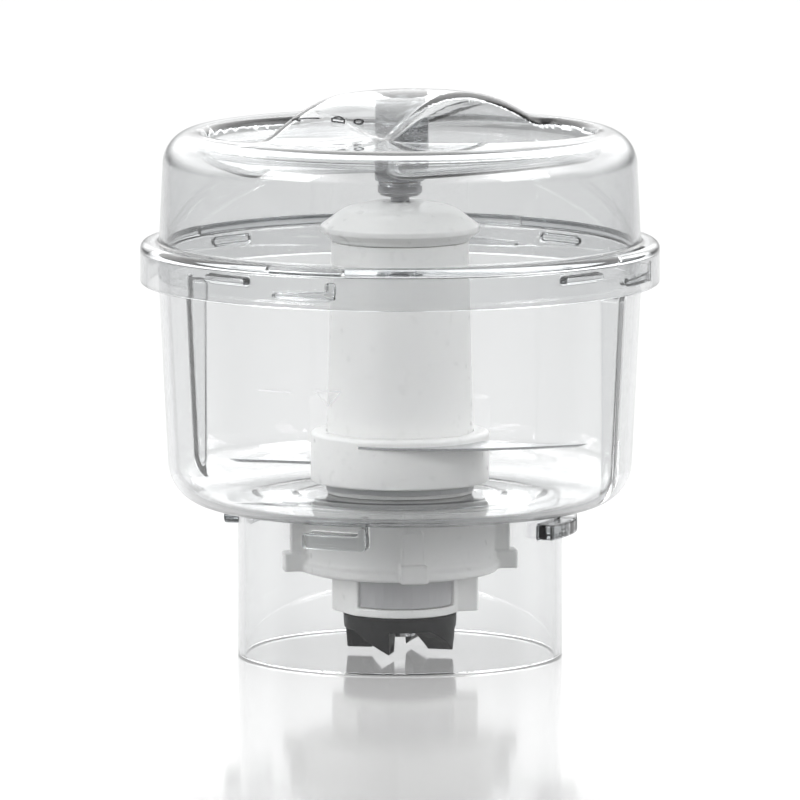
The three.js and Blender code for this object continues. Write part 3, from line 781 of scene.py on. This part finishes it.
def build_blade(node, turn, lift):
    """Sickle blade, ground from below along its front edge, with a tip turned up by lift."""
    tip = BLADE_TIP[node]
    low, thick = cad(node, 0, 2), cad(node, 1, 2) - cad(node, 0, 2)
    rear = [(HUB_R - 6, -2), (HUB_R + 6, -2.6), (tip * 0.72, -4.5), (tip, 0)]
    front = [(-6, -31.4), (tip * 0.2, -37), (tip * 0.67, -22), (tip, 0)]
    along = 1 - np.linspace(1, 0, 60) ** 1.3
    across = np.concatenate([np.linspace(0, 0.72, 8), np.linspace(0.74, 1, 16)])
    top, under = [], []
    for u in along:
        rear_point, front_point = bezier(rear, u), bezier(front, u)
        width = np.linalg.norm(front_point - rear_point)
        for v in across:
            point = rear_point + (front_point - rear_point) * v
            point = point * max(1, BLADE_ROOT_R / np.linalg.norm(point))
            bevel = min(1, (1 - v) * width / BLADE_BEVEL)
            back = BLADE_BACK_DROP * (1 - min(1, v * width / BLADE_BACK))
            reach = max(0, (np.linalg.norm(point) - HUB_R) / (tip - HUB_R))
            rise = lift * reach ** 2
            land = thick * (BLADE_LAND[0] - BLADE_LAND[1] * min(1, reach) ** 2)
            under.append((*point, low + (thick - land) * (1 - bevel) + back + rise))
            top.append((*point, low + thick - back + rise))
    angle = math.radians(turn)
    cos, sin = math.cos(angle), math.sin(angle)
    points = np.array(top + under) @ np.array([[cos, -sin, 0], [sin, cos, 0], [0, 0, 1]]).T
    rows, columns, total = len(along), len(across), len(top)
    faces = []
    for i in range(rows - 1):
        for j in range(columns - 1):
            a = i * columns + j
            quad = (a, a + columns, a + columns + 1, a + 1)
            faces.append(quad[::-1])
            faces.append(tuple(k + total for k in quad))
    rim = [i * columns for i in range(rows)]
    rim += [(rows - 1) * columns + j for j in range(1, columns)]
    rim += [i * columns + columns - 1 for i in range(rows - 2, -1, -1)]
    rim += list(range(columns - 2, 0, -1))
    for a, b in zip(rim, rim[1:] + rim[:1]):
        faces.append((a, b, b + total, a + total))
    name = node.replace("_", ".") + ".ground"
    place(piece(name, points, faces, "blade_steel", sharp=12), "knife", node)


def build_metal():
    build_blade("blade_upper", -17.5, 0.0)
    build_blade("blade_lower", 170.0, 0.5)
    radius = cad("drive_shaft", 1, 0)
    low, high = height_of("drive_shaft")
    groove_r = radius - CLIP_GROOVE_DEPTH
    groove_low, groove_high = CLIP_GROOVE
    shaft = lathe("shaft", [
        (1.7, low, 0), (radius, low, 0.3), (radius, groove_low, 0), (groove_r, groove_low, 0),
        (groove_r, groove_high, 0), (radius, groove_high, 0), (radius, high - 1.4, 0.5),
        (radius - 1.6, high, 0.4), (0, high, 0), (0, low + 12, 0), (1.7, low + 12, 0),
    ], "polished_steel", around=64)
    place(shaft, "drive", "drive_shaft")
    low, high = height_of("lid_cup")
    outer = cad("lid_cup", 1, 0)
    cup = lathe("cup", [
        (4.3, low, 0.3), (outer - 1.2, low, 0.5), (outer, low + 1.3, 0.5), (outer, high - 1.5, 0.2),
        (outer - 0.5, high - 1.3, 0.1), (outer - 0.5, high - 0.8, 0.1), (outer, high - 0.6, 0.2),
        (outer, high, 0.3), (4.3, high, 0.3),
    ], "polished_steel", around=96)
    place(cup, "lid", "lid_cup")
    build_insert()


def knurl_radius(turn, z):
    """Radius of the insert: diamonds between two plain edges."""
    low, high = INSERT_Z
    if z < low + KNURL_EDGE or z > high - KNURL_EDGE:
        return INSERT_R - KNURL_DEPTH
    ridges = [
        abs((KNURL_DIAMONDS * turn / (2 * math.pi) + hand * z / KNURL_PITCH) % 1 * 2 - 1)
        for hand in (1, -1)
    ]
    return INSERT_R - KNURL_DEPTH * (1 - min(ridges) ** KNURL_POWER)


def build_insert():
    """Steel insert with a diamond knurl and a blind bore from below."""
    low, high = INSERT_Z
    around = KNURL_AROUND
    turns = np.linspace(0, 2 * math.pi, around, endpoint=False)
    points = []
    for z in np.linspace(low, high, KNURL_ROWS):
        for turn in turns:
            radius = knurl_radius(turn, z)
            points.append((radius * math.cos(turn), radius * math.sin(turn), z))
    faces = [
        (i * around + k, i * around + (k + 1) % around, (i + 1) * around + (k + 1) % around,
         (i + 1) * around + k)
        for i in range(KNURL_ROWS - 1) for k in range(around)
    ]
    last = (KNURL_ROWS - 1) * around
    start = len(points)
    bore, bore_top = INSERT_HOLLOW
    for z in (low, bore_top):
        points.extend((bore * math.cos(a), bore * math.sin(a), z) for a in turns)
    points.extend([(0, 0, bore_top), (0, 0, high)])
    for k in range(around):
        j = (k + 1) % around
        faces.append((k, start + k, start + j, j))
        faces.append((start + k, start + around + k, start + around + j, start + j))
        faces.append((start + around + k, len(points) - 2, start + around + j))
        faces.append((last + k, last + j, len(points) - 1))
    insert = piece("knurled_insert", points, faces, "polished_steel", sharp=50, finish="knurled_steel")
    place(insert, "lid", "lid_insert")


def strip(path, width, field, closed):
    """Points and faces of a thin raised line that follows a surface. The path is a list of points."""
    path = np.asarray(path, float)
    if closed:
        path = np.concatenate([path, path[:1]])
    runs = [
        np.linspace(a, b, max(2, int(np.linalg.norm(b - a) / MARK_STEP)), endpoint=False)
        for a, b in zip(path, path[1:])
    ]
    path = onto(field, np.concatenate([*runs, path[-1:]]), 2.0)
    along = np.gradient(path, axis=0)
    side = np.cross(gradient(field, path), along)
    side *= width / 2 / np.linalg.norm(side, axis=1, keepdims=True)
    edges = [onto(field, path + k * side, 0.5) for k in (1, -1)]
    lines = [edge + lift * gradient(field, edge) for lift in MARK_LIFTS for edge in edges]
    n = len(path)
    faces = []
    for i in range(n - 1):
        for a, b in ((0, 1), (1, 3), (3, 2), (2, 0)):
            faces.append((a * n + i, a * n + i + 1, b * n + i + 1, b * n + i))
    faces.append((0, n, 3 * n, 2 * n))
    faces.append((n - 1, 3 * n - 1, 4 * n - 1, 2 * n - 1))
    return np.concatenate(lines), faces


def marks(name, body, paths, field, slot, width):
    """Several raised lines as one piece. Each path is (points, closed)."""
    points, faces = [], []
    for path, closed in paths:
        more, quads = strip(path, width, field, closed)
        faces.extend(tuple(k + len(points) for k in quad) for quad in quads)
        points.extend(more)
    place(piece(name, points, faces, slot), body)


def on_grip(x, rise):
    """A point over the grip's front."""
    return x, GRIP_MARK_Y + rise, GRIP_MARK_Z


def grip_circle(x, rise, radius, end):
    """Points over the grip, on a circle from 0 degrees to the end."""
    angles = [math.radians(a) for a in np.linspace(0, end, 13)]
    return [on_grip(x + radius * math.cos(a), rise + radius * math.sin(a)) for a in angles]


def on_bowl(x, z):
    """A point near the bowl's front wall."""
    return x, -math.sqrt(FILL_MARK_R ** 2 - x ** 2), z


def build_marks():
    """Turning arrow and lock sign on the grip, fill line and triangle on the bowl."""
    marks("grip_marks", "lid", [
        ([on_grip(-28.5, 0), on_grip(-38.0, 0)], False),
        ([on_grip(-35.4, 1.7), on_grip(-38.2, 0), on_grip(-35.4, -1.7)], False),
        ([on_grip(-24, -1.8), on_grip(-19.5, -1.8), on_grip(-19.5, 0.9), on_grip(-24, 0.9)], True),
        (grip_circle(-21.75, 1.1, 1.5, 180), False),
        (grip_circle(-14.5, 0, 1.6, 360), False),
    ], lid_outside, "charcoal_plastic", 0.7)
    marks("fill_marks", "bowl", [
        ([on_bowl(-48.5, FILL_LINE_Z), on_bowl(-37.0, FILL_LINE_Z)], False),
        ([on_bowl(-29, 104.7), on_bowl(-20, 104.7), on_bowl(-24.5, 99.4)], True),
    ], bowl_outside, "grey_plastic", 0.55)


def finish_nodes():
    """Every CAD node that stays gets its slot's material, and smooth shading on its round faces."""
    for row in frame["record"]["subparts"]:
        node = frame["nodes"][row["node"]]
        node.data.materials.clear()
        node.data.materials.append(MATERIALS[row["material_slot"]])
        node.data.polygons.foreach_set("use_smooth", [True] * len(node.data.polygons))
        node.data.set_sharp_from_angle(angle=math.radians(30))


# ---- studio, in metres -----------------------------------------------------------------------
# Each row of the sky says where a change starts and ends, then the brightness at each end if it
# isn't given by another row. Its sideways rows run over |X|, the others over Z.
SKY = {
    "behind": (0.25, 0.62, 0.57, 0.14),
    "behind_rise": (0.0, 0.31, 2.6),
    "front": (0.30, 0.95, 0.20, 0.12),
    "front_high": (0.30, 0.80, 0.7, 4.6),
    "front_rise": (0.12, 0.42),
    "overhead": (0.70, 0.98, 1.6),
}
SKY_TURN = (-0.05, 0.35)
CAMERA_DISTANCE = 4.12
CAMERA_ELEVATION = math.radians(7.3)
CAMERA_LENS = 517.5
LOOK_AT = Vector((0.0, 0.0, 0.0911))
FLOOR_HALF = 6.0
FLOOR_DROP = 0.0002
LAMP_AIM = Vector((0, 0, 0.1))
LAMP_SIZE = 1.6
LAMPS = {"key": ((-2.5, -1.5, 1.5), 95), "fill": ((2.6, -1.2, 1.4), 62)}
BOUNCES = 24
GLOSSY_BOUNCES = 8


def camera():
    data = bpy.data.cameras.new("camera")
    data.lens = CAMERA_LENS
    data.sensor_width = 36
    data.clip_start = 0.1
    data.clip_end = 50
    obj = bpy.data.objects.new("camera", data)
    bpy.context.scene.collection.objects.link(obj)
    back = Vector((0, -math.cos(CAMERA_ELEVATION), math.sin(CAMERA_ELEVATION)))
    obj.location = LOOK_AT + back * CAMERA_DISTANCE
    obj.rotation_mode = "QUATERNION"
    obj.rotation_quaternion = (-back).to_track_quat("-Z", "Y")
    bpy.context.scene.camera = obj


def floor():
    """Pale glossy floor with a small even emission."""
    n = Nodes("studio_floor")
    n.set(Base_Color=(0.18, 0.18, 0.18, 1), Roughness=0.10, Specular_IOR_Level=0.5)
    n.set(Emission_Color=(1, 1, 1, 1), Emission_Strength=0.22)
    mesh = bpy.data.meshes.new("floor")
    corners = [(x * FLOOR_HALF, y * FLOOR_HALF, 0) for x, y in ((-1, -1), (1, -1), (1, 1), (-1, 1))]
    mesh.from_pydata(corners, [], [(0, 1, 2, 3)])
    mesh.materials.append(n.material)
    obj = bpy.data.objects.new("floor", mesh)
    bpy.context.scene.collection.objects.link(obj)
    obj.location.z = -FLOOR_DROP


def sky():
    """Soft studio light: bright behind, overhead and high up at both sides, dim low in front."""
    world = bpy.data.worlds.new("studio")
    bpy.context.scene.world = world
    world.use_nodes = True
    tree = world.node_tree

    def ease(source, start, end, low, high):
        made = tree.nodes.new("ShaderNodeMapRange")
        made.interpolation_type = "SMOOTHSTEP"
        tree.links.new(source, made.inputs["Value"])
        sockets = {"From Min": start, "From Max": end, "To Min": low, "To Max": high}
        for key, value in sockets.items():
            if isinstance(value, (int, float)):
                made.inputs[key].default_value = value
            else:
                tree.links.new(value, made.inputs[key])
        return made.outputs["Result"]

    coord = tree.nodes.new("ShaderNodeTexCoord")
    split = tree.nodes.new("ShaderNodeSeparateXYZ")
    tree.links.new(coord.outputs["Generated"], split.inputs["Vector"])
    x, y, z = (split.outputs[k] for k in "XYZ")
    absolute = tree.nodes.new("ShaderNodeMath")
    absolute.operation = "ABSOLUTE"
    tree.links.new(x, absolute.inputs[0])
    side = absolute.outputs["Value"]
    start, end, high = SKY["behind_rise"]
    behind = ease(z, start, end, ease(side, *SKY["behind"]), high)
    front = ease(z, *SKY["front_rise"], ease(side, *SKY["front"]), ease(side, *SKY["front_high"]))
    level = ease(y, *SKY_TURN, front, behind)
    start, end, overhead = SKY["overhead"]
    total = ease(z, start, end, level, overhead)
    tree.nodes["Background"].inputs["Color"].default_value = (1, 1, 1, 1)
    tree.links.new(total, tree.nodes["Background"].inputs["Strength"])


def lamp(name, spot, power):
    """Large soft lamp, hidden from mirror reflections so that clear walls don't show its outline."""
    data = bpy.data.lights.new(name, "AREA")
    data.shape = "RECTANGLE"
    data.size = LAMP_SIZE
    data.size_y = LAMP_SIZE
    data.energy = power
    obj = bpy.data.objects.new(name, data)
    bpy.context.scene.collection.objects.link(obj)
    obj.location = spot
    obj.visible_glossy = False
    obj.rotation_mode = "QUATERNION"
    obj.rotation_quaternion = (LAMP_AIM - Vector(spot)).to_track_quat("-Z", "Y")


def studio():
    camera()
    floor()
    sky()
    for name, (spot, power) in LAMPS.items():
        lamp(name, spot, power)
    scene = bpy.context.scene
    scene.view_settings.view_transform = "Standard"
    scene.cycles.max_bounces = BOUNCES
    scene.cycles.transmission_bounces = BOUNCES
    scene.cycles.glossy_bounces = GLOSSY_BOUNCES
    scene.cycles.transparent_max_bounces = BOUNCES


finish_nodes()
build_mouldings(CLEAR_PARTS)
build_tower()
build_metal()
build_mouldings(DRIVE_PARTS)
build_marks()
studio()
